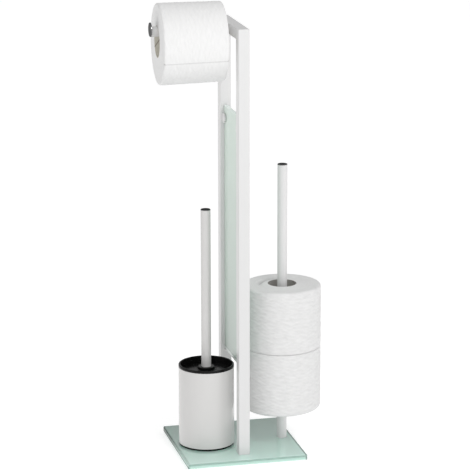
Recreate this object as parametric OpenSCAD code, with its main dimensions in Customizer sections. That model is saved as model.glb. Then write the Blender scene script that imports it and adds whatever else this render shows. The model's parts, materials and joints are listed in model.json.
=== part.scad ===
// Free-standing toilet roll holder with a spare roll rod and a brush set.
// X to the right, Y away from the viewer, Z up. Millimetres. The floor is Z = 0.
// The base's centre lies at X = ox, so that the whole object's box is centred on the origin.

/* [Base] */
// Width and depth of the square glass base
base_w = 196; // [190:1:204]
// Thickness of the glass base
base_t = 8; // [8:0.5:10]
// Corner radius of the glass base
base_r = 4; // [2:0.5:8]
// Height of the rubber feet
foot_h = 3; // [3:0.5:4]
// Diameter of the rubber feet
foot_d = 16; // [12:1:20]

/* [Frame] */
// Height of the frame's top above the floor
top_z = 700; // [690:1:712]
// Outer width of the frame, along Y
frame_w = 144; // [140:1:150]
// Width of the square tube
tube = 18; // [18:0.5:20]
// Wall of the square tube
tube_wall = 1.5; // [1.2:0.1:1.8]

/* [Glass panel] */
// Height of the glass panel
panel_h = 406; // [380:1:420]
// Thickness of the glass panel
panel_t = 6; // [5:0.5:6]
// Gap between the panel's edge and each post
panel_gap = 0.5; // [0.5:0.1:1]
// Height of the fixing discs' centres below the panel's top edge
disc_drop = 20; // [16:1:40]
// Diameter of the fixing discs
disc_d = 15.5; // [14:0.5:15.5]

/* [Roll arm and rod] */
// Diameter of the round tubes: the arm, the spare rod and the brush handle
rod_d = 16; // [16:0.5:16.5]
// Wall of the round tubes
rod_wall = 1.2; // [1:0.1:1.5]
// Length of the arm from the top bar's side to the end cap
arm_len = 122.5; // [118:0.5:130]
// Diameter of the arm's end disc: its lower edge is level with the arm's, so its upper edge is a lip
arm_cap_d = 22.5; // [20:0.5:24]
// Distance of the spare rod from the base's centre
rod_x = 80; // [76:0.5:82]
// Height of the spare rod's top above the floor
rod_top = 469; // [440:1:490]
// Height of the rest under the spare rolls
rest_z = 65.8; // [50:0.1:80]

/* [Rolls] */
// Diameter of a full roll
roll_d = 126; // [110:1:128]
// Width of a roll
roll_w = 103; // [95:0.5:104]
// Diameter of the roll in use, whose turns have loosened
hang_d = 128; // [110:1:128]
// Inner diameter of the cardboard core of the roll in use
core_d = 49; // [44:0.5:50]
// Inner diameter of the spare rolls' cores
spare_core_d = 44.5; // [42:0.5:50]
// How far the loose outer turns of the hanging roll sag
roll_sag = 3.4; // [0:0.1:4]
// How far the hanging roll stands askew on the arm, in degrees
roll_yaw = 2; // [0:0.5:3]

/* [Brush set] */
// Distance of the cup from the base's centre
cup_x = 46; // [46:0.5:50]
// Outer diameter of the cup
cup_d = 90; // [88:0.5:90]
// Height of the cup's rim above the floor
cup_top = 146; // [140:1:148]
// Height of the brush handle's top above the floor
handle_top = 402; // [380:1:420]
// Strands in one ring of the brush
ring_strands = 20; // [16:1:22]

/* [Hidden] */
$fn = 96;

white = "#f0f0ee";
glassy = "#b9d6cb";
chrome = "#8c8f92";
black = "#161616";
clear = "#dfe6e3";
paper = "#fafafa";
kraft = "#b5a58a";
steel = "#a8abad";

base_top = foot_h + base_t;              // the glass's upper face
post_y = frame_w / 2 - tube / 2;         // centre line of each post
bar_z = top_z - tube / 2;                // the middle of the bar
arm_z = bar_z - (tube - rod_d) / 2;      // the arm's underside is level with the bar's
panel_w = frame_w - 2 * tube - 2 * panel_gap;
panel_z0 = (base_top + top_z - panel_h) / 2;
panel_z1 = panel_z0 + panel_h;
disc_y = panel_w / 2 - 7.5;              // the discs stand just clear of the posts
disc_z = panel_z1 - disc_drop;
arm_end = -tube / 2 - arm_len;           // where the arm's cap starts
arm_disc = 2;                            // thickness of the arm's end disc
arm_tip = arm_end - arm_disc;
// the core hangs on the top of the arm, which it touches near the roll's two ends
hang_z = arm_z - sqrt(pow(core_d / 2 - rod_d / 2 - 0.15, 2) - pow(roll_w / 2 * sin(roll_yaw), 2));
hang_x = -70;                            // middle of the hanging roll
lower_z = rest_z + 0.1;
upper_z = lower_z + roll_w + 0.1;
// the whole object reaches from the arm's tip to the spare rolls' right side
ox = -(rod_x + roll_d / 2 + arm_tip) / 2;
echo(base_centre_x = ox, hang_z = hang_z, panel_z0 = panel_z0, panel_z1 = panel_z1, disc_y = disc_y, disc_z = disc_z);

// ---- helpers ----

module placed(c) { color(c) translate([ox, 0, 0]) children(); }

// A rectangle with rounded corners, made of true arcs
module rounded(w, d, r) {
    square([w - 2 * r, d], center = true);
    square([w, d - 2 * r], center = true);
    for (x = [-1, 1], y = [-1, 1]) translate([x * (w / 2 - r), y * (d / 2 - r)]) circle(r);
}

// A rectangle with its corners cut at 45 degrees, the section of a glass edge with its arris
module arrised(w, h, c) {
    polygon([[-w/2 + c, -h/2], [w/2 - c, -h/2], [w/2, -h/2 + c], [w/2, h/2 - c],
             [w/2 - c, h/2], [-w/2 + c, h/2], [-w/2, h/2 - c], [-w/2, -h/2 + c]]);
}

// A glass sheet in the XY plane, centred, with rounded corners and polished arrises
module sheet(w, d, t, r, c) {
    intersection() {
        translate([0, 0, -t / 2]) linear_extrude(t) rounded(w, d, r);
        rotate([90, 0, 0]) linear_extrude(d + 2, center = true) arrised(w, t, c);
        rotate([90, 0, 90]) linear_extrude(w + 2, center = true) arrised(d, t, c);
    }
}

// Square tube along +Z
module square_tube(h) {
    linear_extrude(h) difference() {
        rounded(tube, tube, 1.5);
        rounded(tube - 2 * tube_wall, tube - 2 * tube_wall, 0.6);
    }
}

// Round tube along +Z
module round_tube(h, d = rod_d, wall = rod_wall) {
    rotate_extrude() translate([d / 2 - wall, 0]) square([wall, h]);
}

// Flat cap with a rim of its own and a spigot that goes down into a round tube
module tube_cap(d, head, spigot) {
    r = d / 2; s = rod_d / 2 - rod_wall; e = min(0.5, head / 3);
    rotate_extrude() polygon([[0, 0 - spigot], [s - 0.6, -spigot], [s, -spigot + 0.8], [s, 0],
        [r, 0], [r, head - e], [r - e, head], [0, head]]);
}

// End disc that stands higher than the tube it closes, with a round spigot in the tube
module lip_cap(d, head, spigot) {
    s = rod_d / 2 - rod_wall; r = d / 2;
    rotate_extrude() polygon([[0, -spigot], [s - 0.6, -spigot], [s, -spigot + 0.8], [s, 0.5], [0, 0.5]]);
    translate([r - rod_d / 2, 0, 0]) rotate_extrude()
        polygon([[0, 0], [r - 0.3, 0], [r, 0.3], [r, head - 0.5], [r - 0.5, head], [0, head]]);
}

// M6 screw with a low head, pointing up from z = 0 at its head's upper side
module base_screw(l) {
    difference() {
        rotate_extrude() polygon([[0, -1.4], [5.6, -1.4], [6, -1], [6, 0], [3, 0], [3, l - 0.8], [2.2, l], [0, l]]);
        translate([0, 0, -1.5]) cylinder(h = 1, r = 2, $fn = 6);
    }
}

// Washer under the glass
module base_washer() {
    difference() { cylinder(h = 0.8, r = 9); translate([0, 0, -1]) cylinder(h = 3, r = 3); }
}

// Toilet roll paper wound on its core, standing on z = 0, its outer edges soft
module wound(d, bore, sag = 0) {
    e = 4;
    difference() {
        translate([0, sag, 0]) union() {
            rotate_extrude() {
                square([d / 2 - e, roll_w]);
                translate([0, e]) square([d / 2, roll_w - 2 * e]);
                for (z = [e, roll_w - e]) translate([d / 2 - e, z]) circle(e);
            }
        }
        translate([0, 0, -1]) cylinder(h = roll_w + 2, r = bore / 2 + 1);
    }
}

// The core's board is 1 mm thick
module core_tube(bore) { round_tube(roll_w, bore + 2, 1); }

module hang() { translate([hang_x, 0, hang_z]) rotate([0, 0, -roll_yaw]) translate([roll_w / 2, 0, 0]) rotate([0, -90, 0]) children(); }

// ---- base ----

module base_plate() {
    placed(glassy) difference() {
        translate([0, 0, foot_h + base_t / 2]) sheet(base_w, base_w, base_t, base_r, 0.8);
        for (p = [[0, -post_y], [0, post_y], [rod_x, 0]])
            translate([p[0], p[1], 0]) cylinder(h = 20, r = 3.5);
    }
}

module foot(x, y) {
    placed(black) translate([x * (base_w / 2 - 20), y * (base_w / 2 - 20), 0])
        rotate_extrude() polygon([[0, 0], [foot_d / 2 - 1.5, 0], [foot_d / 2 - 0.7, 0.8], [foot_d / 2, foot_h], [0, foot_h]]);
}
module foot_front_left() { foot(-1, -1); }
module foot_front_right() { foot(1, -1); }
module foot_back_left() { foot(-1, 1); }
module foot_back_right() { foot(1, 1); }

// ---- frame ----

// s = -1 is the front post, 1 the back one: the top is mitred into the bar
module post(s) {
    placed(white) difference() {
        translate([0, s * post_y, base_top]) square_tube(top_z - base_top);
        translate([0, s * frame_w / 2, top_z]) rotate([s * 45, 0, 0]) translate([0, 0, 0])
            translate([-50, -60, 0]) cube([100, 120, 60]);
    }
}
module front_post() { post(-1); }
module back_post() { post(1); }

module top_bar() {
    placed(white) difference() {
        translate([0, -frame_w / 2, bar_z]) rotate([-90, 0, 0]) square_tube(frame_w);
        for (s = [-1, 1])
            translate([0, s * frame_w / 2, top_z]) rotate([s * 45, 0, 0]) translate([-50, -60, -60]) cube([100, 120, 60]);
    }
}

module foot_plug(s) {
    placed(steel) translate([0, s * post_y, base_top]) difference() {
        linear_extrude(16) rounded(tube - 2 * tube_wall, tube - 2 * tube_wall, 0.6);
        translate([0, 0, -1]) cylinder(h = 20, r = 3);
    }
}
module front_foot_plug() { foot_plug(-1); }
module back_foot_plug() { foot_plug(1); }

module front_base_screw() { placed(steel) translate([0, -post_y, foot_h - 0.8]) base_screw(20); }
module back_base_screw() { placed(steel) translate([0, post_y, foot_h - 0.8]) base_screw(20); }
module front_base_washer() { placed(clear) translate([0, -post_y, foot_h - 0.8]) base_washer(); }
module back_base_washer() { placed(clear) translate([0, post_y, foot_h - 0.8]) base_washer(); }

// ---- glass panel and what holds it ----

module glass_panel() {
    placed(glassy) difference() {
        translate([0, 0, (panel_z0 + panel_z1) / 2]) rotate([90, 0, 90]) sheet(panel_w, panel_h, panel_t, 1.5, 0.5);
        for (s = [-1, 1]) translate([0, s * disc_y, disc_z]) rotate([0, 90, 0]) cylinder(h = 20, r = 3.5, center = true);
    }
}

// Tab welded to the post behind the panel, tapped for the disc's stud
module panel_lug(s) {
    placed(white) translate([panel_t / 2 + 0.5, 0, disc_z]) rotate([90, 0, 90]) linear_extrude(3) difference() {
        union() {
            translate([s * disc_y, 0]) circle(7.5);
            translate([s > 0 ? disc_y : -frame_w / 2 + tube, -7.5]) square([frame_w / 2 - tube - disc_y, 15]);
        }
        translate([s * disc_y, 0]) circle(2.5);
    }
}
module front_panel_lug() { panel_lug(-1); }
module back_panel_lug() { panel_lug(1); }

// Round head with its threaded stud, turned in one piece
module panel_disc(s) {
    placed(white) translate([-panel_t / 2 - 0.5, s * disc_y, disc_z]) rotate([0, 90, 0])
        rotate_extrude() polygon([[0, -2.5], [disc_d / 2 - 0.8, -2.5], [disc_d / 2, -1.7], [disc_d / 2, 0],
            [2.5, 0], [2.5, panel_t + 4.6], [2, panel_t + 5.2], [0, panel_t + 5.2]]);
}
module front_panel_disc() { panel_disc(-1); }
module back_panel_disc() { panel_disc(1); }

module gasket(x, s) {
    placed(clear) translate([x, s * disc_y, disc_z]) rotate([0, 90, 0]) difference() {
        cylinder(h = 0.5, r = 6.8);
        translate([0, 0, -1]) cylinder(h = 3, r = 2.5);
    }
}
module front_disc_gasket() { gasket(-panel_t / 2 - 0.5, -1); }
module back_disc_gasket() { gasket(-panel_t / 2 - 0.5, 1); }
module front_lug_gasket() { gasket(panel_t / 2, -1); }
module back_lug_gasket() { gasket(panel_t / 2, 1); }

// Angled shoe welded to the post: the panel's lower corner stands on it, bonded to its back
module panel_shoe(s) {
    a = panel_t / 2 + 0.5;
    placed(white) translate([0, s > 0 ? frame_w / 2 - tube : -frame_w / 2 + tube + 10, panel_z0 - 0.5])
        rotate([90, 0, 0]) linear_extrude(10)
        polygon([[0.5 - a, -2], [a + 2, -2], [a + 2, 12], [a, 12], [a, 0], [0.5 - a, 0]]);
}
module front_panel_shoe() { panel_shoe(-1); }
module back_panel_shoe() { panel_shoe(1); }

module shoe_pad(s) {
    a = panel_t / 2 + 0.5;
    placed(clear) translate([0, s > 0 ? frame_w / 2 - tube : -frame_w / 2 + tube + 10, panel_z0 - 0.5])
        rotate([90, 0, 0]) linear_extrude(10)
        polygon([[0.5 - a, 0], [a, 0], [a, 9], [a - 0.5, 9], [a - 0.5, 0.5], [0.5 - a, 0.5]]);
}
module front_shoe_pad() { shoe_pad(-1); }
module back_shoe_pad() { shoe_pad(1); }

// ---- arm for the roll in use ----

module roll_arm() { placed(white) translate([-tube / 2, 0, arm_z]) rotate([0, -90, 0]) round_tube(arm_len); }
module roll_arm_cap() { placed(chrome) translate([arm_end, 0, arm_z]) rotate([0, -90, 0]) lip_cap(arm_cap_d, arm_disc, 10); }

// ---- rod for the spare rolls ----

module spare_rod() { placed(white) translate([rod_x, 0, base_top]) round_tube(rod_top - 1.4 - base_top); }
module spare_rod_cap() { placed(chrome) translate([rod_x, 0, rod_top - 1.4]) tube_cap(rod_d, 1.4, 10); }
module spare_rod_plug() {
    placed(steel) translate([rod_x, 0, base_top]) difference() {
        cylinder(h = 16, r = rod_d / 2 - rod_wall);
        translate([0, 0, -1]) cylinder(h = 20, r = 3);
    }
}
module spare_rod_screw() { placed(steel) translate([rod_x, 0, foot_h - 0.8]) base_screw(20); }
module spare_rod_washer() { placed(clear) translate([rod_x, 0, foot_h - 0.8]) base_washer(); }

// Turned disc with a hub below, clamped to the rod
module roll_rest() {
    placed(white) translate([rod_x, 0, rest_z]) difference() {
        rotate_extrude() polygon([[rod_d / 2, -11], [11.5, -11], [12, -10.5], [12, -3.5], [13, -2.5],
            [31.4, -2.5], [32, -1.9], [32, -0.6], [31.4, 0], [rod_d / 2, 0]]);
        translate([0, 0, -7]) rotate([0, 90, 0]) cylinder(h = 20, r = 2);
    }
}
module roll_rest_screw() {
    placed(steel) translate([rod_x, 0, rest_z - 7]) rotate([0, 90, 0]) difference() {
        translate([0, 0, rod_d / 2]) cylinder(h = 3.6, r = 2);
        translate([0, 0, rod_d / 2 + 2]) cylinder(h = 3, r = 1, $fn = 6);
    }
}

// ---- brush set ----

module cup_sleeve() {
    placed(white) translate([-cup_x, 0, 0]) rotate_extrude()
        polygon([[cup_d/2 - 1, base_top + 3.5], [cup_d/2, base_top + 3.5], [cup_d/2, cup_top - 4.5], [cup_d/2 - 0.4, cup_top - 4], [cup_d/2 - 1, cup_top - 4]]);
}

// Black insert: a rounded rim on the sleeve, a step for the lid and a closed bottom
module cup_liner() {
    r = cup_d / 2; t = cup_top; f = base_top + 10;
    placed(black) translate([-cup_x, 0, 0]) rotate_extrude()
        difference() {
            union() {
                polygon([[0, f], [34, f], [r - 4, f + 7], [r - 4, t - 16], [r - 1, t - 13], [r - 1, t - 4], [r, t - 4], [r, t - 1.6], [r - 1.6, t], [r - 3, t - 0.4],
                         [r - 3, t - 12.9], [r - 5.8, t - 12.9], [r - 5.8, f + 8], [33, f + 2], [0, f + 2]]);
                translate([r - 1.6, t - 1.6]) circle(1.6, $fn = 32);
            }
        }
}

module cup_foot() {
    r = cup_d / 2; b = base_top + 0.05;
    placed(black) translate([-cup_x, 0, 0]) rotate_extrude()
        polygon([[0, b + 1.2], [36, b + 1.2], [37, b], [r - 1.6, b], [r - 0.8, b + 0.8], [r - 0.8, base_top + 3.5],
                 [r - 1, base_top + 3.5], [r - 1, base_top + 9], [r - 2.6, base_top + 9], [r - 2.6, base_top + 3.5], [0, base_top + 3.5]]);
}

handle_z0 = cup_top - 28;
module brush_handle() { placed(white) translate([-cup_x, 0, handle_z0]) round_tube(handle_top - 1.4 - handle_z0); }
module brush_handle_cap() { placed(chrome) translate([-cup_x, 0, handle_top - 1.4]) tube_cap(rod_d, 1.4, 10); }

lid_z = cup_top - 12.85;                 // underside of the lid, on the liner's step
module brush_lid() {
    R = cup_d / 2 - 4; c = rod_d / 2;
    placed(black) translate([-cup_x, 0, lid_z]) rotate_extrude()
        polygon([[c, -2], [c + 3.4, -2], [c + 4, 0.6], [c + 8, 1.6], [34, 0.9], [34.6, 0], [R - 0.5, 0], [R, 0.5], [R, 1.9], [R - 0.5, 2.4],
                 [35.6, 2.4], [34.6, 3.2], [c + 8, 4], [c + 6, 4.6], [c + 5.6, 7.6], [c + 4.6, 8.6], [c, 8.6]]);
}

// Brush head: a spigot in the handle, a shoulder, a neck and the core that carries the bristles
brush_c = 56;                            // centre of the rounded end
brush_r = 8;
brush_top = 103;
module brush_core() {
    s = rod_d / 2 - rod_wall; h = handle_z0;
    placed(black) translate([-cup_x, 0, 0]) rotate_extrude() {
        polygon([[0, brush_c], [brush_r, brush_c], [brush_r, brush_top], [6, brush_top + 3], [6, h - 8], [8, h - 5], [rod_d / 2 + 1, h - 1], [rod_d / 2 + 1, h],
                 [s, h], [s, h + 13.2], [s - 0.8, h + 14], [0, h + 14]]);
        intersection() {
            translate([0, brush_c]) circle(brush_r);
            translate([0, brush_c - 20]) square([20, 20.5]);
        }
    }
}

// One strand of three sides, from the backing to its tip, in the plane at angle a, tilted down by t
function strand_points(a, z, t, r0, r1, w) =
    let (d = [cos(t) * cos(a), cos(t) * sin(a), -sin(t)], u = [-sin(a), cos(a), 0],
         v = [sin(t) * cos(a), sin(t) * sin(a), cos(t)], o = [0, 0, z])
    [for (r = [r0, r1], k = [0:2]) o + r * d + w * (cos(k * 120 + 90) * u + sin(k * 120 + 90) * v)];
module strand(a, z, t, r0, r1, w = 0.6) {
    polyhedron(points = strand_points(a, z, t, r0, r1, w),
        faces = [[0, 1, 2], [5, 4, 3], [0, 3, 4], [0, 4, 1], [1, 4, 5], [1, 5, 2], [2, 5, 3], [2, 3, 0]]);
}
ring_step = 3;
fan = [for (i = [1:5]) [13.5 * i, round(ring_strands * cos(13.5 * i) * 1.0)]];
rings = floor((brush_top - 3 - brush_c) / ring_step);
strand_count = (rings + 1) * ring_strands + fan[0][1] + fan[1][1] + fan[2][1] + fan[3][1] + fan[4][1] + 1;
echo(strands = strand_count);
function tip(t) = 1 / sqrt(pow(cos(t) / 35, 2) + pow(sin(t) / 29, 2));
module brush_bristles() {
    b = brush_r;
    placed("#2a2a2a") translate([-cup_x, 0, 0]) difference() {
        union() {
            // the slice of backing that the strands are fused to
            rotate_extrude($fn = 40) {
                translate([0, brush_c]) square([b + 1, brush_top - brush_c - 1]);
                intersection() { translate([0, brush_c]) circle(b + 1, $fn = 40); translate([0, brush_c - 20]) square([20, 20.5]); }
            }
            for (i = [0:rings], k = [0:ring_strands - 1])
                strand((k + (i % 2) / 2) * 360 / ring_strands, brush_c + 0.8 + i * ring_step, 0, b + 0.4, 35);
            for (i = [0:4], k = [0:fan[i][1] - 1])
                strand((k + (i % 2) / 2) * 360 / fan[i][1], brush_c, fan[i][0], b + 0.4, tip(fan[i][0]));
            strand(0, brush_c, 90, b + 0.4, 29);
        }
        // the core's own space
        rotate_extrude($fn = 40) {
            translate([0, brush_c]) square([b, 80]);
            intersection() { translate([0, brush_c]) circle(b, $fn = 40); translate([0, brush_c - 20]) square([20, 20.5]); }
        }
    }
}

// ---- rolls ----

module hanging_roll_core() { placed(kraft) hang() core_tube(core_d); }
module hanging_roll_paper() { placed(paper) hang() rotate([0, 0, 90]) wound(hang_d, core_d, roll_sag); }
module lower_roll_core() { placed(kraft) translate([rod_x, 0, lower_z]) core_tube(spare_core_d); }
module lower_roll_paper() { placed(paper) translate([rod_x, 0, lower_z]) wound(roll_d, spare_core_d); }
module upper_roll_core() { placed(kraft) translate([rod_x, 0, upper_z]) core_tube(spare_core_d); }
module upper_roll_paper() { placed(paper) translate([rod_x, 0, upper_z]) wound(roll_d, spare_core_d); }

base_plate();
foot_front_left();
foot_front_right();
foot_back_left();
foot_back_right();
front_post();
back_post();
top_bar();
front_foot_plug();
back_foot_plug();
front_base_screw();
back_base_screw();
front_base_washer();
back_base_washer();
glass_panel();
front_panel_lug();
back_panel_lug();
front_panel_disc();
back_panel_disc();
front_disc_gasket();
back_disc_gasket();
front_lug_gasket();
back_lug_gasket();
front_panel_shoe();
back_panel_shoe();
front_shoe_pad();
back_shoe_pad();
roll_arm();
roll_arm_cap();
spare_rod();
spare_rod_cap();
spare_rod_plug();
spare_rod_screw();
spare_rod_washer();
roll_rest();
roll_rest_screw();
cup_sleeve();
cup_liner();
cup_foot();
brush_handle();
brush_handle_cap();
brush_lid();
brush_core();
brush_bristles();
hanging_roll_core();
hanging_roll_paper();
lower_roll_core();
lower_roll_paper();
upper_roll_core();
upper_roll_paper();
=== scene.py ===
# %% [markdown]
# # A free-standing toilet roll holder, dressed for its portrait
#
# A white steel frame on a frosted glass base holds a roll in use on an arm, two spare rolls on a rod
# and, beside it, a brush in its cup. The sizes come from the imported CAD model, which is loaded as a
# fixed frame: metres, Z up, X to the right, Y away from the viewer.

# %% Load the frame
import json
import math

import bmesh
import bpy
from mathutils import Matrix, Vector


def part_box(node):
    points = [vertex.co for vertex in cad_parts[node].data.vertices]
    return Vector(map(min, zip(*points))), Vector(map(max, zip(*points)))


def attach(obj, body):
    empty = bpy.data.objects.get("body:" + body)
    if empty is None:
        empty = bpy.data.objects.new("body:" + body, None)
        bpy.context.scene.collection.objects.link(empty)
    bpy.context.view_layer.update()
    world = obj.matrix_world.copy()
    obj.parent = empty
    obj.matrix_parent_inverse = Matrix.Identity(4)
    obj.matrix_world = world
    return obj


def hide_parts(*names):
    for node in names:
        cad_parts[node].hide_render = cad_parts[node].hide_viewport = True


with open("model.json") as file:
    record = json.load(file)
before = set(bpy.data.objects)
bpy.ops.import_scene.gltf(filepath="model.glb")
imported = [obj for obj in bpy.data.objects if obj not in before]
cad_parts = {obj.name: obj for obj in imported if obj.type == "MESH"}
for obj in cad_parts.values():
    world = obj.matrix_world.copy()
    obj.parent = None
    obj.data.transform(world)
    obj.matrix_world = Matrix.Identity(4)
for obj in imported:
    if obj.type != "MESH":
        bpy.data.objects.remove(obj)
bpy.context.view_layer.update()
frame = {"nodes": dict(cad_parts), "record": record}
NODES = frame["nodes"]

# %% [markdown]
# ## The camera
#
# The photograph was taken with a long lens from a little above, and from the left of the frame's own
# long axis. A camera can be placed by guesswork, but here its place and lens were fitted to the corners of
# the frame and the glass, so the render and the photograph can be laid over each other.

# %% Camera
LENS = 186.897                      # millimetres, on a sensor 36 mm wide
EYE = Vector((-0.87965, -3.6725, 1.3197))
PITCH, TURN, ROLL = map(math.radians, (-14.310, 13.431, -0.110))

ahead = Vector((math.sin(TURN) * math.cos(PITCH), math.cos(TURN) * math.cos(PITCH), math.sin(PITCH)))
right = Vector((math.cos(TURN), -math.sin(TURN), 0))
up = right.cross(ahead)
right, up = (right * math.cos(ROLL) + up * math.sin(ROLL), up * math.cos(ROLL) - right * math.sin(ROLL))
camera = bpy.data.objects.new("camera", bpy.data.cameras.new("camera"))
camera.data.lens = LENS
camera.data.sensor_width = 36
camera.data.clip_start, camera.data.clip_end = 0.05, 60
camera.matrix_world = Matrix((
    (right.x, up.x, -ahead.x, EYE.x),
    (right.y, up.y, -ahead.y, EYE.y),
    (right.z, up.z, -ahead.z, EYE.z),
    (0, 0, 0, 1)))
bpy.context.scene.collection.objects.link(camera)
bpy.context.scene.camera = camera
print("camera", round((EYE - Vector((0, 0, 0.35))).length, 2), "m away")

# %% [markdown]
# ## Sums in node trees
#
# Materials and Geometry Nodes both work out their patterns in Math nodes, which are tedious to wire by
# hand. This class wraps one socket. Plain Python sums on it, such as `1 - mask`, add the Math
# nodes, and every other node comes from the one method `node`.


# %% The class for node sums
class Value:
    """A socket of a node tree that can be used in sums. Without a socket it only starts new nodes."""

    def __init__(self, tree, socket=None):
        self.tree, self.socket = tree, socket

    def node(self, kind, settings=None, inputs=None, out=0):
        """Adds a node: its settings first, then its sockets' values or links. Gives one of its outputs."""
        made = self.tree.nodes.new(kind)
        for key, value in (settings or {}).items():
            if key == "stops":
                ramp = made.color_ramp.elements
                while len(ramp) < len(value):
                    ramp.new(0.5)
                for stop, (place, colour) in zip(ramp, value):
                    stop.position, stop.color = place, colour
            else:
                setattr(made, key, value)
        for key, value in (inputs or {}).items():
            if isinstance(value, Value):
                self.tree.links.new(value.socket, made.inputs[key])
            elif value is not None:
                made.inputs[key].default_value = value
        return Value(self.tree, made.outputs[out])

    def other(self, out):
        """Another output of the node that this value comes from."""
        return Value(self.tree, self.socket.node.outputs[out])

    def math(self, operation, *values):
        return self.node("ShaderNodeMath", {"operation": operation}, dict(enumerate(values)))

    def __add__(self, x): return self.math("ADD", self, x)
    def __radd__(self, x): return self.math("ADD", x, self)
    def __sub__(self, x): return self.math("SUBTRACT", self, x)
    def __rsub__(self, x): return self.math("SUBTRACT", x, self)
    def __mul__(self, x): return self.math("MULTIPLY", self, x)
    def __rmul__(self, x): return self.math("MULTIPLY", x, self)
    def __truediv__(self, x): return self.math("DIVIDE", self, x)
    def __rtruediv__(self, x): return self.math("DIVIDE", x, self)
    def __pow__(self, x): return self.math("POWER", self, x)
    def __gt__(self, x): return self.math("GREATER_THAN", self, x)
    def __lt__(self, x): return self.math("LESS_THAN", self, x)
    def __abs__(self): return self.math("ABSOLUTE", self)
    def sin(self): return self.math("SINE", self)
    def cos(self): return self.math("COSINE", self)
    def part(self): return self.math("FRACT", self)
    def whole(self): return self.math("FLOOR", self)
    def exp(self): return self.math("EXPONENT", self)
    def at_least(self, x): return self.math("MAXIMUM", self, x)
    def at_most(self, x): return self.math("MINIMUM", self, x)
    def to_and_fro(self, x): return self.math("PINGPONG", self, x)
    def turn_of(self, y): return self.math("ARCTAN2", y, self)

    def rise(self, start, end):
        """0 up to start, 1 from end on, and straight between them."""
        return self.node("ShaderNodeMapRange", {}, {0: self, 1: start, 2: end, 3: 0.0, 4: 1.0})

    def between(self, low, high):
        """The number between low and high, where this value goes from 0 to 1."""
        return self * (high - low) + low

    def tint(self, first, second):
        """The colour between two colours or values, with this value as the share of the second."""
        return self.node("ShaderNodeMix", {"data_type": "RGBA"}, {0: self, 6: first, 7: second}, out=2)

    def xyz(self):
        parts = self.node("ShaderNodeSeparateXYZ", {}, {0: self})
        return parts, parts.other(1), parts.other(2)

    def vector(self, x, y, z):
        return self.node("ShaderNodeCombineXYZ", {}, {0: x, 1: y, 2: z})

    def noise(self, scale, detail=2.0, roughness=0.5, stretch=None):
        """Cloudy noise from 0 to 1 at this place. stretch scales the three directions first."""
        place = self
        if stretch:
            place = self.node("ShaderNodeVectorMath", {"operation": "MULTIPLY"}, {0: self, 1: stretch})
        return self.node("ShaderNodeTexNoise", {},
                         {"Vector": place, "Scale": scale, "Detail": detail, "Roughness": roughness})


# %% [markdown]
# ## Finishes
#
# Every finish is worked out from the place on the piece, in metres, so it has its real scale and needs
# no picture. What changes over the surface goes into colour, roughness and bump, and on the base also
# into its clear coat.


# %% Starting a finish
def new_finish(name):
    """An empty material with its shader and a Value to start its nodes from."""
    made = bpy.data.materials.new(name)
    made.use_nodes = True
    shader = made.node_tree.nodes["Principled BSDF"]
    return made, shader, Value(made.node_tree)


def feed(shader, **sockets):
    """Sets or links the shader's sockets. An underscore stands for a space in a socket's name."""
    for key, value in sockets.items():
        socket = shader.inputs[key.replace("_", " ")]
        if isinstance(value, Value):
            value.tree.links.new(value.socket, socket)
        else:
            socket.default_value = value


def here(bench):
    """The place on the piece, in metres."""
    return bench.node("ShaderNodeTexCoord", {}, {}, out="Object")


def bumped(bench, height, depth, strength=1.0):
    """A normal that stands for relief: height is from 0 to 1 and depth is in metres."""
    return bench.node("ShaderNodeBump", {}, {"Height": height, "Distance": depth, "Strength": strength})


def grey(level, warmth=0.0):
    return (level * (1 + warmth), level, level * (1 - warmth), 1)


# %% [markdown]
# The steel is powder coated white. Powder melts into a skin that is satin rather than glossy, with a fine
# orange peel of about half a millimetre. Broad, faint clouds keep large faces from looking dead.


# %% White powder coat
def white_powder_coat(name, level, warmth, gloss):
    """gloss is the share of clear shine over the powder: the brush set has more of it than the frame."""
    made, shader, bench = new_finish(name)
    place = here(bench)
    peel = place.noise(1700, 2, 0.4)
    clouds = place.noise(14, 3, 0.5)
    specks = place.noise(5200, 0).rise(0.7, 0.78)
    feed(shader, Base_Color=clouds.tint(grey(level * 0.98, warmth), grey(level * 1.02, warmth)),
         Roughness=0.36 + 0.08 * peel + 0.05 * clouds + 0.1 * specks,
         Normal=bumped(bench, peel, 0.00003), Specular_IOR_Level=0.5, Coat_Weight=gloss, Coat_Roughness=0.12)
    return made


# %% [markdown]
# The base and the panel are float glass, etched on one side, so light scatters inside and the sheet looks
# milky with a green tinge, while the other side still shines. A transparent material with rough walls
# renders slowly, and far too dark. Subsurface scattering is the better way here: light enters, wanders
# inside the sheet and comes out softly, and a clear coat gives the shine. Clear edges bend the light, so a
# real sheet shows its own lower edges as dark lines. Those lines are drawn into the colour, measured from
# the sheet's edges.


# %% Frosted glass
def edge_of(part, low, high, width):
    """1 within a width of either end of the stretch from low to high, and 0 between them."""
    return abs(part - (low + high) / 2).rise((high - low) / 2 - width, (high - low) / 2 - width * 0.7)


def line_at(part, low, high, near, far):
    """1 on the two lines that lie from near to far inside the ends of the stretch."""
    inset = (high - low) / 2 - abs(part - (low + high) / 2)
    return inset.rise(near - 0.0003, near) * inset.rise(far + 0.0003, far)


def sheet_of_glass(shader, bench, colour, rough, wander, **coat):
    """What both sheets share. wander is how far light travels inside the glass, in metres."""
    place = here(bench)
    etch, clouds = place.noise(2600, 2, 0.6), place.noise(6, 2, 0.5)
    feed(shader, Base_Color=colour, Roughness=rough + 0.06 * etch + 0.04 * clouds, Normal=bumped(bench, etch, 0.00001),
         Subsurface_Weight=1.0, Subsurface_Scale=wander, Subsurface_Radius=(1.0, 1.0, 1.0), IOR=1.5,
         Coat_IOR=1.5, **coat)


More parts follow.
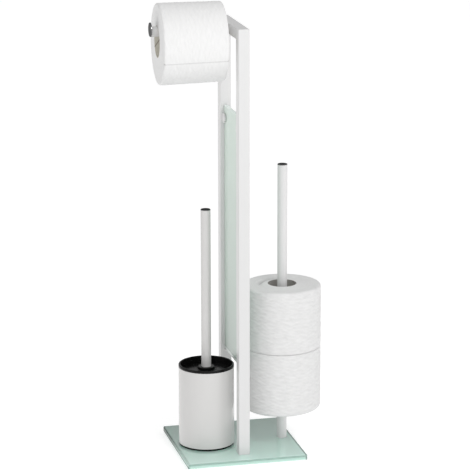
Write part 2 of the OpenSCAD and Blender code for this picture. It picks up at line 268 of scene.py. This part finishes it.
def base_glass():
    made, shader, bench = new_finish("base_glass")
    place = here(bench)
    x, y, z = place.xyz()
    low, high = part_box("base_plate")

    # the top: milky, with painted shade that darkens it towards the back, and painted refraction streaks near its
    # sides
    milk = place.noise(6, 2, 0.5).tint((0.64, 0.81, 0.75, 1), (0.61, 0.79, 0.73, 1))
    top = y.rise(low.y, high.y).tint(milk, (0.28, 0.40, 0.35, 1))
    streaks = (x * 900 + place.noise(30) * 1.5).sin() * 0.5 + 0.5
    streaked = (edge_of(x, low.x, high.x, 0.0044) * streaks * 0.35).tint(top, (0.30, 0.42, 0.37, 1))

    # painted on the edges: a dark line along the top of the front edge, where the glass bends the light, and painted
    # shade that makes the sides darker at the bottom and at the back
    front = z.rise(high.z - 0.0036, high.z - 0.0026).tint((0.44, 0.61, 0.55, 1), (0.28, 0.41, 0.36, 1))
    side_shaded_low = z.rise(low.z + 0.0020, low.z + 0.0045).tint((0.14, 0.21, 0.18, 1), (0.36, 0.49, 0.44, 1))
    side = y.rise(low.y + 0.03, high.y - 0.06).tint(side_shaded_low, (0.05, 0.09, 0.07, 1))
    fronted = edge_of(y, low.y, high.y, 0.0010).tint(streaked, front)
    sides = edge_of(x, low.x, high.x, 0.0018)

    # the lower side edges, seen through the sheet
    lines = line_at(x, low.x, high.x, 0.0016, 0.0032) * x.rise(-0.01, 0.01).between(0.35, 0.85)
    colour = lines.tint(sides.tint(fronted, side), (0.08, 0.14, 0.12, 1))
    sheet_of_glass(shader, bench, colour, 0.26, 0.01, Coat_Weight=1 - sides, Coat_Roughness=0.08)
    return made


def panel_glass():
    made, shader, bench = new_finish("panel_glass")
    place = here(bench)
    x, y, z = place.xyz()
    low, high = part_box("glass_panel")
    milk = place.noise(6, 2, 0.5).tint((0.34, 0.43, 0.37, 1), (0.32, 0.41, 0.35, 1))
    # painted light makes the sheet lighter towards its far end, and painted shade darkens it towards its foot
    wide = y.rise(0.0, high.y).tint(milk, (0.42, 0.52, 0.45, 1))
    shaded = z.rise(high.z, low.z).tint(wide, (0.25, 0.32, 0.275, 1))

    # the ground lower edge, seen through the sheet as a pale strip under a dark green line
    foot = z - low.z
    strip = foot.rise(0.0056, 0.0050)
    line = foot.rise(0.0050, 0.0056) * foot.rise(0.0074, 0.0066)
    seen = strip.tint(line.tint(shaded, (0.12, 0.18, 0.15, 1)), (0.58, 0.66, 0.61, 1))

    # the side of the spare rolls is the etched one and is painted paler: partly the etching's own whiteness, partly
    # painted light
    etched_and_lit = x.rise(low.x * 0.6 + high.x * 0.4, low.x * 0.4 + high.x * 0.6).tint(seen, (0.62, 0.73, 0.67, 1))
    rim = edge_of(y, low.y, high.y, 0.0009).at_least(edge_of(z, low.z, high.z, 0.0009))
    colour = rim.tint(etched_and_lit, (0.52, 0.64, 0.58, 1))
    sheet_of_glass(shader, bench, colour, 0.34, 0.04, Coat_Weight=0.8, Coat_Roughness=0.28)
    return made


# %% [markdown]
# The caps of the arm, the rod and the handle are chromed a dark grey, and their polished faces look darker
# than their rims, because a flat mirror shows one dark part of the room. The material tells the face from
# the rim by the direction that the surface points in.


# %% Dark chrome and plain steel
def dark_chrome(name, axis, level):
    """axis is the direction that the cap faces, from 0 for X to 2 for Z, and level how light its face is."""
    made, shader, bench = new_finish(name)
    facing = abs(bench.node("ShaderNodeTexCoord", {}, {}, out="Normal").xyz()[axis]).rise(0.45, 0.9)
    place = here(bench)
    smudge = place.noise(160, 3, 0.55)
    fine = place.noise(4200, 1)
    face = smudge.tint(grey(level * 0.8), grey(level * 1.2))
    feed(shader, Base_Color=facing.tint(grey(0.28), face), Metallic=1.0,
         Roughness=0.10 + 0.06 * smudge + 0.03 * fine, Normal=bumped(bench, fine, 0.000002), Specular_Tint=grey(0.45))
    return made


def zinced_steel():
    made, shader, bench = new_finish("zinced_steel")
    place = here(bench)
    spangle = place.noise(900, 2)
    lines = place.noise(3000, 1, 0.5, stretch=(1, 1, 8))
    feed(shader, Base_Color=spangle.tint(grey(0.46, -0.01), grey(0.58, -0.01)), Metallic=1.0,
         Roughness=0.28 + 0.14 * lines, Normal=bumped(bench, lines, 0.00001))
    return made


# %% [markdown]
# The liner, its rim and the splash lid are moulded in black plastic, fairly glossy, with the faint
# waviness of a moulding. The bristles are nylon of the same black, and each strand has its own shade.


# %% Black plastic and nylon
def black_moulding():
    made, shader, bench = new_finish("black_moulding")
    place = here(bench)
    wave = place.noise(70, 2)
    grain = place.noise(2400, 1)
    feed(shader, Base_Color=wave.tint(grey(0.003), grey(0.005)),
         Roughness=0.14 + 0.08 * wave + 0.04 * grain, Normal=bumped(bench, grain, 0.000006), Specular_IOR_Level=0.16)
    return made


def black_nylon():
    made, shader, bench = new_finish("black_nylon")
    place = here(bench)
    shade = place.noise(700, 1)
    feed(shader, Base_Color=shade.tint(grey(0.012), grey(0.045)), Roughness=0.42 + 0.2 * shade,
         Normal=bumped(bench, place.noise(5000, 0), 0.000008))
    return made


# %% [markdown]
# The bumpers under the base are soft clear rubber, and the washers and gaskets between glass and metal are a
# harder clear plastic. Both are small, so a tinted surface with a little light through it is enough.


# %% Clear rubber and clear plastic
def clear_soft(name, level, rough, through):
    made, shader, bench = new_finish(name)
    place = here(bench)
    haze = place.noise(500, 2)
    feed(shader, Base_Color=haze.tint(grey(level * 0.94, -0.01), grey(level, -0.01)), Roughness=rough + 0.12 * haze,
         Normal=bumped(bench, place.noise(1800, 1), 0.00001), Transmission_Weight=through, IOR=1.45)
    return made


# %% [markdown]
# A roll's core is a strip of grey board wound in a spiral, so a seam runs round it like a thread, and the
# recycled fibres show as flecks. The material works out the angle round the core's own axis. The Mapping
# node brings that axis to the origin and turns it upright, because each core lies somewhere else.


# %% Core board
def core_board(name, centre, turned, start, dark, light):
    """start is where the seam's thread begins, in turns, and dark and light are the board's two colours."""
    made, shader, bench = new_finish(name)
    place = bench.node("ShaderNodeMapping", {"vector_type": "TEXTURE"},
                       {"Vector": here(bench), "Location": centre, "Rotation": turned})
    x, y, z = place.xyz()
    thread = (x.turn_of(y) / math.tau - z / 0.115 + start).part()
    seam = abs(thread - 0.5).rise(0.012, 0.004)
    lap = thread.rise(0.5, 0.56)
    fibres = place.noise(900, 3, 0.6, stretch=(1, 1, 0.4))
    flecks = place.noise(2600, 1).rise(0.66, 0.74)
    board = fibres.tint(dark, light)
    marked = (0.5 * flecks).tint(board, (0.25, 0.22, 0.18, 1))
    feed(shader, Base_Color=(0.7 * seam).tint(marked, (0.13, 0.10, 0.08, 1)), Roughness=0.82 + 0.12 * fibres,
         Normal=bumped(bench, fibres * 0.3 + lap, 0.00012))
    return made


# %% [markdown]
# Toilet paper is white, but never evenly so. Its embossing throws tiny shadows, which are painted in as
# painted shade, fibres give it a fine fuzz, and the ends show every turn as a ring. The rolls made below carry
# three attributes, so the pattern follows the paper. paper_place is the distance along the paper, the height,
# and the distance from the core. A third attribute holds painted shade: how dark the hollows of the embossing,
# the paper under the loose end and the dent of the upper roll are painted. end_face is 1 on the cut ends.


# %% Tissue
def tissue(name, level, shade):
    """level is how light the paper is, and shade how dark the painted shade in the hollows of its embossing and under
    the loose end is.
    """
    made, shader, bench = new_finish(name)
    paper = bench.node("ShaderNodeAttribute", {"attribute_name": "paper_place"}, {}, out="Vector")
    hollow = bench.node("ShaderNodeAttribute", {"attribute_name": "hollow"}, {}, out="Fac")
    ends = bench.node("ShaderNodeAttribute", {"attribute_name": "end_face"}, {}, out="Fac")
    out = paper.xyz()[2]
    fibres = here(bench).noise(2100, 3, 0.62)
    crumple = paper.noise(260, 2, 0.5, stretch=(1, 0.6, 1))
    turns = bench.vector(0.0, 0.0, out).noise(3400, 2, 0.7)
    wide_turns = bench.vector(0.0, 0.0, out).noise(620, 1, 0.5)
    ringed = ends * (turns * 0.5 + wide_turns * 0.5).rise(0.30, 0.62)
    white = fibres.tint(grey(level * 0.98, 0.002), grey(level * 1.03, 0.002))
    # painted shade: the hollows of the embossing and the paper under the loose end are darkened
    side = (shade * hollow).tint(white, grey(level * 0.5))
    # painted light: the cut ends are made lighter than the side of the roll
    lit_ends = ends.tint(side, grey(level * 1.08, 0.002))
    # the ends are darker between the rings of the turns, and painted shade darkens the dent
    dark = 0.25 * (ends - ringed) + ends * hollow
    side_relief = 0.35 * crumple + 0.12 * fibres
    end_relief = 0.5 * turns + 0.35 * wide_turns + 0.1 * fibres
    feed(shader, Base_Color=dark.tint(lit_ends, grey(level * 0.6, 0.004)), Roughness=0.94,
         Normal=bumped(bench, (1 - ends) * side_relief + ends * end_relief, 0.00045),
         Sheen_Weight=0.12, Sheen_Roughness=0.6, Specular_IOR_Level=0.25)
    return made


# %% [markdown]
# ## Dressing the CAD nodes
#
# The steel, glass and plastic pieces already have their true shapes, so they stay, and each takes its
# finish from the slot that the record names for it.

# %% Finishes onto nodes
coat = white_powder_coat("frame_coat", 0.66, 0.002, 0.3)
brush_coat = white_powder_coat("brush_coat", 0.58, 0.014, 0.8)
FINISHES = {
    "base_glass": base_glass(), "panel_glass": panel_glass(), "white_coat": coat, "steel": zinced_steel(),
    "black_plastic": black_moulding(), "bristle": black_nylon(), "rubber": clear_soft("clear_rubber", 0.62, 0.35, 0.3),
    "clear_plastic": clear_soft("clear_plastic", 0.8, 0.15, 0.6)}
ARM_SWING = math.radians(-2)        # the roll in use hangs a little askew on its arm
SEAM_START = 0.881                  # in turns, so that the seam shows under the arm
# the hanging core's board is painted lighter than the spare cores' board, as painted light in its bore
LIT_BOARD = (0.50, 0.48, 0.42, 1), (0.62, 0.60, 0.53, 1)
GREY_BOARD = (0.24, 0.235, 0.22, 1), (0.34, 0.33, 0.31, 1)
# the arm's cap takes a lighter copy of the same dark chrome than the caps of the rod and the handle: a painted
# reflection
own = {
    "cup_sleeve": brush_coat, "brush_handle": brush_coat, "roll_arm_cap": dark_chrome("arm_chrome", 0, 0.05),
    "spare_rod_cap": dark_chrome("rod_chrome", 2, 0.012), "brush_handle_cap": dark_chrome("handle_chrome", 2, 0.012)}
for roll, turned, tones in (("hanging_roll", (0, math.radians(90), ARM_SWING), LIT_BOARD),
                            ("lower_roll", (0, 0, 0), GREY_BOARD), ("upper_roll", (0, 0, 0), GREY_BOARD)):
    low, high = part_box(roll + "_core")
    own[roll + "_core"] = core_board(roll + "_board", tuple((low + high) / 2), turned, SEAM_START, *tones)
for row in frame["record"]["subparts"]:
    finish = own.get(row["node"]) or FINISHES.get(row["material_slot"])
    if finish:
        NODES[row["node"]].data.materials.clear()
        NODES[row["node"]].data.materials.append(finish)

# %% [markdown]
# ## Making pieces with Geometry Nodes
#
# A tree is built in the script with named inputs. The modifier's inputs are set by the sockets'
# identifiers, the result is made a plain mesh, and the modifier goes, so the piece needs nothing but its mesh.


# %% Running a tree
SOCKETS = {float: "NodeSocketFloat", int: "NodeSocketInt", tuple: "NodeSocketVector",
           bpy.types.Material: "NodeSocketMaterial"}


class Recipe:
    """A Geometry Nodes tree with named inputs, whose example values say their kinds."""

    def __init__(self, name, **inputs):
        self.tree = bpy.data.node_groups.new(name, "GeometryNodeTree")
        self.tree.interface.new_socket(name="Geometry", in_out="INPUT", socket_type="NodeSocketGeometry")
        for key, value in inputs.items():
            self.tree.interface.new_socket(name=key, in_out="INPUT", socket_type=SOCKETS[type(value)])
        self.tree.interface.new_socket(name="Geometry", in_out="OUTPUT", socket_type="NodeSocketGeometry")
        self.bench = Value(self.tree)
        given = self.bench.node("NodeGroupInput")
        self.given = {key: given.other(key) for key in ["Geometry", *inputs]}

    def end(self, shape):
        """Realize Instances, Set Material and the output."""
        real = self.bench.node("GeometryNodeRealizeInstances", {}, {0: shape})
        done = self.bench.node("GeometryNodeSetMaterial", {}, {"Geometry": real, "Material": self.given["Material"]})
        self.tree.links.new(done.socket, self.tree.nodes.new("NodeGroupOutput").inputs[0])

    def piece(self, name, start=None, **values):
        """A new object made by this recipe, as a plain mesh."""
        made = bpy.data.objects.new(name, start or bpy.data.meshes.new(name))
        bpy.context.scene.collection.objects.link(made)
        modifier = made.modifiers.new("recipe", "NODES")
        modifier.node_group = self.tree
        for item in self.tree.interface.items_tree:
            if item.in_out == "INPUT" and item.name in values:
                modifier[item.identifier] = values[item.name]
        graph = bpy.context.evaluated_depsgraph_get()
        mesh = bpy.data.meshes.new_from_object(
            made.evaluated_get(graph), preserve_all_data_layers=True, depsgraph=graph)
        made.modifiers.clear()
        made.data = mesh
        mesh.name = name
        return made


def outward(piece, sharp=None):
    """Makes the faces point outwards, smooth but for edges sharper than the given angle."""
    shell = bmesh.new()
    shell.from_mesh(piece.data)
    bmesh.ops.recalc_face_normals(shell, faces=shell.faces)
    shell.to_mesh(piece.data)
    shell.free()
    piece.data.shade_smooth()
    if sharp:
        piece.data.set_sharp_from_angle(angle=math.radians(sharp))


def placed(piece, turn, move):
    """Puts the turn and the place into the mesh, so the object itself stays at the origin."""
    piece.data.transform(Matrix.Translation(move) @ turn)
    return piece


# %% [markdown]
# ## The rolls
#
# A roll follows a rule: one profile, from the bore over the end, round the soft edge, along the side
# and back, is carried round a spiral that grows by the thickness of the paper. The tree starts from a grid,
# where one direction walks the profile and the other walks round the roll. The last row but one ends the
# spiral, and the last row drops to its start, which makes the little step of the loose end. Short hollows
# are pressed in along the side, and the ends are waved as cut paper is.
#
# The attributes are stored on the flat grid, before its points move. A field is worked out anew by each
# node that uses it, so after Set Position the same sums would start from the wrong places.


# %% The recipe for a wound roll
FACE_ROWS, EDGE_ROWS, SIDE_ROWS, ROUND = 30, 6, 130, 400
QUILT = (0.0165, 0.0060)            # one embossed pillow: along the paper and across it, in metres
TAIL_SHADE_SPAN = (0.0065, 0.0030)           # the share of a turn over which the shade under the loose end fades in
TEETH = 0.00022                     # depth of the torn teeth of the loose end, in metres


def roll_recipe():
    r = Recipe("wound_roll", Core=0.1, Outer=0.1, Taper=0.1, Width=0.1, Low_Edge=0.1, High_Edge=0.1, Start=0.1,
               Step=0.1, Sag=0.1, Slack=0.1, Low_Slip=0.1, High_Slip=0.1, Slip_Turn=0.1, Dent=0.1, Dent_Turn=0.1,
               Crease=0.1, Relief=0.1, Dish=0.1, Seed=1.0, Material=bpy.data.materials[0])
    g, b = r.given, r.bench
    marks = [0, 1]
    for rows in (FACE_ROWS, EDGE_ROWS, SIDE_ROWS, EDGE_ROWS, FACE_ROWS, 1):
        marks.append(marks[-1] + rows)
    rows, columns = marks[-1] + 1, ROUND + 2
    grid = b.node("GeometryNodeMeshGrid", {}, {0: float(rows - 1), 1: float(columns - 1), 2: rows, 3: columns})
    x, y, _ = b.node("GeometryNodeInputPosition").xyz()
    s = x + (rows - 1) / 2
    i = y + (columns - 1) / 2
    walk = [s.rise(float(marks[k]), float(marks[k + 1])) for k in range(7)]
    last = i > ROUND + 0.5
    t = (i / ROUND).at_most(1.0)

    # the profile: distance from the axis and height
    quarter = math.pi / 2
    low_turn, high_turn = (walk[2] * quarter), (walk[4] * quarter)
    out = (g["Core"] + walk[1] * (g["Outer"] - g["Low_Edge"] - g["Core"]) + g["Low_Edge"] * low_turn.sin()
           - g["High_Edge"] * (1 - high_turn.cos()) - walk[5] * (g["Outer"] - g["High_Edge"] - g["Core"]))
    half = g["Width"] / 2
    high = (walk[0] * -1 * half + g["Low_Edge"] * (1 - low_turn.cos())
            + walk[3] * (g["Width"] - g["Low_Edge"] - g["High_Edge"])
            + g["High_Edge"] * high_turn.sin() + walk[6] * -1 * half)
    side = walk[2] * (1 - walk[4])
    low_end = walk[0] * (1 - walk[2])
    high_end = walk[4] * (1 - walk[6])
    share = (out - g["Core"]) / (g["Outer"] - g["Core"])

    # the spiral's step and the torn teeth of its end
    teeth = (s * 0.5).part().rise(0.25, 0.3) * side * TEETH
    angle = g["Start"] + (1 - t) * math.tau - teeth / g["Outer"] * (t > 0.998) * (1 - last)
    spiral = (t - 1) * (1 - last) * g["Step"] - last * g["Step"]
    along = t * (1 - last) * math.tau * g["Outer"]

    # embossed pillows, broken up by longer hollows
    spot = b.vector(along, high, g["Seed"])
    wander = spot.noise(55, 1, 0.5)
    p, q = along / QUILT[0] + wander * 1.3, high / QUILT[1] + (spot + 0.3).noise(48, 1, 0.5) * 1.1
    pillow = abs(((p + q) * math.pi).sin()) * abs(((p - q) * math.pi).sin())
    lenses = spot.noise(1, 1, 0.5, stretch=(75, 230, 1)) - 0.5
    embossed = (pillow - 1) * (0.15 + 0.7 * wander) + lenses * 3.2
    along_axis = high / half
    out_now = out + share * along_axis * g["Taper"] + side * (spiral + g["Relief"] * embossed)

    # the waves of the cut ends, outer turns that slipped down, and a dent in the upper end
    there_and_back = t.to_and_fro(0.5)
    ring = b.vector(share * 7, g["Seed"], there_and_back * 0.6).noise(3, 3, 0.6)
    fine = b.vector(share * 60, g["Seed"] + 4, there_and_back * 0.8).noise(1, 1, 0.5)
    bell = (share * math.pi).sin()
    dished = g["Dish"] * bell * (0.25 + ring) + 0.0004 * bell * fine
    worn = share.at_least(0.0)
    lean = 0.5 + 0.5 * (angle - g["Slip_Turn"]).cos()
    slip = (along_axis / 2 + 0.5).between(g["Low_Slip"], g["High_Slip"]) * lean * worn ** 2.2
    dent = g["Dent"] * (((angle - g["Dent_Turn"]).cos() - 1) * 6 - ((share - 0.32) / 0.10) ** 2).exp()
    high_now = high + low_end * dished - high_end * (dished + dent) - slip

    # what the finish needs to know, stored on the grid
    def kept(shape, name, kind, value):
        return b.node("GeometryNodeStoreNamedAttribute", {"data_type": kind, "domain": "POINT"},
                      {"Geometry": shape, "Name": name, "Value": value})

    marked = kept(grid, "paper_place", "FLOAT_VECTOR", b.vector(along, high, out))
    ended = kept(marked, "end_face", "FLOAT", (low_end + high_end).at_most(1.0))
    # painted shade, stored for the finish: in the hollows of the embossing, under the loose end, and in the dent of
    # the upper end
    hollow = side * (embossed.rise(0.5, -1.6) + t.rise(*TAIL_SHADE_SPAN) * g["Crease"]) + high_end * dent * 230
    shaded = kept(ended, "hollow", "FLOAT", hollow)

    # round the axis, with the outer turns hanging lower than the inner ones
    drop = (g["Sag"] + g["Slack"] * along_axis) * worn ** 1.3
    wound = b.vector(out_now * angle.cos(), out_now * angle.sin() - drop, high_now)
    shaped = b.node("GeometryNodeSetPosition", {}, {"Geometry": shaded, "Position": wound})
    joined = b.node("GeometryNodeMergeByDistance", {}, {"Geometry": shaped, "Distance": 0.00002})
    r.end(joined)
    return r


wound_roll = roll_recipe()
print("roll recipe:", len(wound_roll.tree.nodes), "nodes")

# %% [markdown]
# The roll in use hangs from the top of its core, so its slack outer turns sag a little below it, and its
# end lies across the front. The spare rolls are wound tight, with the end at the back. Their outer turns
# have slipped down on the left, the paper of the lower one is pressed rounder at the bottom edge, and the
# upper one has a dent beside its hole.

# %% The three rolls
# the spare rolls' paper is a little darker than the hanging roll's, and its embossing takes deeper painted shade
tissue_soft = tissue("tissue_soft", 0.75, 0.11)
tissue_spare = tissue("tissue_spare", 0.715, 0.26)
UPRIGHT = Matrix.Identity(4)
ON_ARM = Matrix.Rotation(ARM_SWING, 4, "Z") @ Matrix(((0, 0, -1, 0), (-1, 0, 0, 0), (0, 1, 0, 0), (0, 0, 0, 1)))
SPARE_LEFT = math.radians(205)      # the side to which the outer turns of the spare rolls have slipped down
for name, finish, turn, sizes in (
        ("hanging_roll", tissue_soft, ON_ARM, dict(
            Outer=0.0640, Taper=0.00065, Width=0.103, Low_Edge=0.0035, High_Edge=0.0040, Start=math.radians(-19),
            Step=0.0006, Crease=3.4, Sag=0.0036, Slack=0.0007, Relief=0.00034, Dish=0.0009, Seed=3.0)),
        ("lower_roll", tissue_spare, UPRIGHT, dict(
            Low_Edge=0.0060, High_Edge=0.0030, Start=math.radians(75), Step=0.0004, Low_Slip=0.0028, High_Slip=0.0013,
            Slip_Turn=SPARE_LEFT, Relief=0.00052, Dish=0.0010, Seed=11.0)),
        ("upper_roll", tissue_spare, UPRIGHT, dict(
            Low_Edge=0.0030, High_Edge=0.0050, Start=math.radians(110), Step=0.0004, Low_Slip=0.0012,
            High_Slip=0.0004, Slip_Turn=SPARE_LEFT, Dent=0.0035, Dent_Turn=math.radians(140), Relief=0.00052,
            Dish=0.0012, Seed=27.0))):
    low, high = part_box(name + "_paper")
    core_low, core_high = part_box(name + "_core")
    core_middle = (core_low + core_high) / 2
    if turn is UPRIGHT:
        sizes.update(Outer=(high - low).y / 2, Width=(high - low).z, Core=(core_high - core_low).y / 2)
    else:
        sizes.update(Core=(core_high - core_low).z / 2)
    idle = dict.fromkeys(
        ("Taper", "Sag", "Slack", "Low_Slip", "High_Slip", "Slip_Turn", "Dent", "Dent_Turn", "Crease"), 0.0)
    roll = wound_roll.piece(name, Material=finish, **(idle | sizes))
    placed(roll, turn, core_middle)
    outward(roll, sharp=50)
    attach(roll, name)
    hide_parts(name + "_paper")
    print(name, "is", round(sizes["Outer"] * 2000, 1), "mm across,", len(roll.data.polygons), "faces")

# %% [markdown]
# ## The brush head
#
# Nylon strands stand in tufts, each tuft in its own hole of the core, and round the lower end the
# tufts fan out. Thousands of strands are the classic case for instancing: points are put where the tufts are,
# every point gets a thin cone that leans a little its own way, and then the cones are made real.


# %% The recipe for bristles
SWAY = 0.0018                       # how far the tips of the strands are bent at most, in metres


def bristle_recipe():
    r = Recipe("bristles", Core=0.1, Reach=0.1, Low_Reach=0.1, Rows=1, Row_Step=0.1, Tufts=1, Strands=1, Thick=0.1,
               Spread=0.1, Fan=0.1, Fan_Rows=1, Centre=(0.0, 0.0, 0.0), Seed=1, Material=bpy.data.materials[0])
    g, b = r.given, r.bench

    def tufts(rows, per_row, fanned, seed):
        total = rows * per_row * g["Strands"]
        points = b.node("GeometryNodePoints", {}, {"Count": total})
        index = b.node("GeometryNodeInputIndex")
        tuft = (index / g["Strands"]).whole()
        row = (tuft / per_row).whole()
        place = tuft - row * per_row

        def chance(low, high, salt):
            return b.node("FunctionNodeRandomValue", {"data_type": "FLOAT"},
                          {2: low, 3: high, "ID": index, "Seed": g["Seed"] + seed + salt}, out=1)

        turn = (place + (row / 2).part()) / per_row * math.tau + chance(-1.0, 1.0, 1) * g["Spread"]
        lean = chance(-1.0, 1.0, 2) * g["Spread"]
        if fanned:
            down = (row + 1) * g["Fan"] + lean
            height = chance(-0.0004, 0.0004, 3)
        else:
            down = lean
            height = (row + 0.3) * g["Row_Step"] + chance(-0.0005, 0.0005, 3)
        ray = b.vector(down.cos() * turn.cos(), down.cos() * turn.sin(), down.sin() * -1)
        reach = 1 / (((down.cos() / g["Reach"]) ** 2 + (down.sin() / g["Low_Reach"]) ** 2) ** 0.5)
        start = b.node("ShaderNodeVectorMath", {"operation": "MULTIPLY"},
                       {0: ray, 1: b.vector(g["Core"], g["Core"], g["Core"])})
        foot = b.node("ShaderNodeVectorMath", {"operation": "ADD"}, {0: start, 1: b.vector(0.0, 0.0, height)})
        strand = b.node("GeometryNodeMeshCone", {}, {"Vertices": 3, "Side Segments": 3, "Depth": 1.0,
                                                     "Radius Top": g["Thick"] * 0.6, "Radius Bottom": g["Thick"]})
        facing = b.node("FunctionNodeAlignRotationToVector", {"axis": "Z"}, {"Vector": ray})
        size = b.vector(1.0, 1.0, (reach - g["Core"]) * chance(0.955, 1.0, 4))
        planted = b.node("GeometryNodeSetPosition", {}, {"Geometry": points, "Position": foot})
        return b.node("GeometryNodeInstanceOnPoints", {},
                      {"Points": planted, "Instance": strand, "Rotation": facing, "Scale": size})

    rows = tufts(g["Rows"], g["Tufts"], False, 0)
    fan = tufts(g["Fan_Rows"], g["Tufts"], True, 50)
    both = b.tree.nodes.new("GeometryNodeJoinGeometry")
    for part in (fan, rows):
        b.tree.links.new(part.socket, both.inputs[0])
    real = b.node("GeometryNodeRealizeInstances", {}, {0: Value(b.tree, both.outputs[0])})

    # a slight bend that grows towards the tips
    place = b.node("GeometryNodeInputPosition")
    x, y, z = place.xyz()
    away = ((x * x + y * y) ** 0.5).rise(0.010, 0.036)
    wind = place.node("ShaderNodeTexNoise", {}, {"Vector": place, "Scale": 210.0, "Detail": 1.0}, out=1)
    bend = b.node("ShaderNodeVectorMath", {"operation": "MULTIPLY_ADD"},
                  {0: wind, 1: (2 * SWAY, 2 * SWAY, 2 * SWAY), 2: (-SWAY, -SWAY, -SWAY)})
    bent = b.node("ShaderNodeVectorMath", {"operation": "SCALE"}, {0: bend, "Scale": away * away})
    curled = b.node("GeometryNodeSetPosition", {}, {"Geometry": real, "Offset": bent})
    r.end(b.node("GeometryNodeTransform", {}, {"Geometry": curled, "Translation": g["Centre"]}))
    return r


core_low, core_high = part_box("brush_core")
brush_low, brush_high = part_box("brush_bristles")
BRUSH_AXIS = ((core_low.x + core_high.x) / 2, (core_low.y + core_high.y) / 2)
FAN_CENTRE = 0.056                  # height of the centre of the core's round end
bristles = bristle_recipe().piece(
    "bristle_tufts", Core=0.0078, Reach=0.035, Low_Reach=0.029, Rows=15, Row_Step=0.003, Tufts=24, Strands=13,
    Thick=0.00022, Spread=0.055, Fan=math.radians(15), Fan_Rows=5, Centre=(*BRUSH_AXIS, FAN_CENTRE), Seed=5,
    Material=FINISHES["bristle"])
outward(bristles)
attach(bristles, "brush")
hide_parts("brush_bristles")
print("bristle triangles:", sum(len(p.vertices) - 2 for p in bristles.data.polygons))

# %% [markdown]
# ## Studio
#
# The photograph is a cut-out on white, with hardly a shadow: right sides are light, left sides a little
# darker, and the top is brighter than the foot. An even white surround does most of the work. Three broad
# suns, whose shadows are switched off, add the difference between the sides, and a lamp near the top adds
# the fall from top to foot. The floor gives a little light of its own, which makes it plain white.

# %% Floor, surround and lamps
floor_mesh = bpy.data.meshes.new("floor")
floor_mesh.from_pydata([(-30, -30, 0), (30, -30, 0), (30, 30, 0), (-30, 30, 0)], [], [(0, 1, 2, 3)])
floor = bpy.data.objects.new("floor", floor_mesh)
bpy.context.scene.collection.objects.link(floor)
paint, shader, bench = new_finish("pale_floor")
feed(shader, Base_Color=here(bench).noise(3).tint(grey(0.70), grey(0.72)), Roughness=0.7, Specular_IOR_Level=0.2,
     Emission_Color=grey(1.0), Emission_Strength=0.52)
floor.data.materials.append(paint)

world = bpy.data.worlds.new("surround")
world.use_nodes = True
world.node_tree.nodes["Background"].inputs["Color"].default_value = (1, 1, 1, 1)
world.node_tree.nodes["Background"].inputs["Strength"].default_value = 0.49
bpy.context.scene.world = world


def lamp(name, kind, place, aim, energy, **settings):
    """A lamp at a place, turned to a point."""
    light = bpy.data.lights.new(name, kind)
    light.energy = energy
    for key, value in settings.items():
        setattr(light, key, value)
    made = bpy.data.objects.new(name, light)
    made.location = place
    made.rotation_mode = "QUATERNION"
    made.rotation_quaternion = (Vector(aim) - Vector(place)).to_track_quat("-Z", "Y")
    bpy.context.scene.collection.objects.link(made)


def sun(name, side, height, energy, spread):
    """A lamp far away: its direction round from the front and above the floor, in degrees."""
    side, height = math.radians(side), math.radians(height)
    way = Vector((math.sin(side) * math.cos(height), -math.cos(side) * math.cos(height), math.sin(height)))
    lamp(name, "SUN", way * 3, (0, 0, 0), energy, angle=math.radians(spread), use_shadow=False)


sun("right_lamp", 32, 33, 0.68, 40)
sun("front_lamp", -12, 18, 0.22, 40)
sun("left_lamp", -75, 25, 0.48, 50)
lamp("upper_lamp", "AREA", (0.4, -1.1, 1.4), (0, 0, 0.6), 6, shape="DISK", size=0.8)
bpy.context.scene.view_settings.view_transform = "Standard"
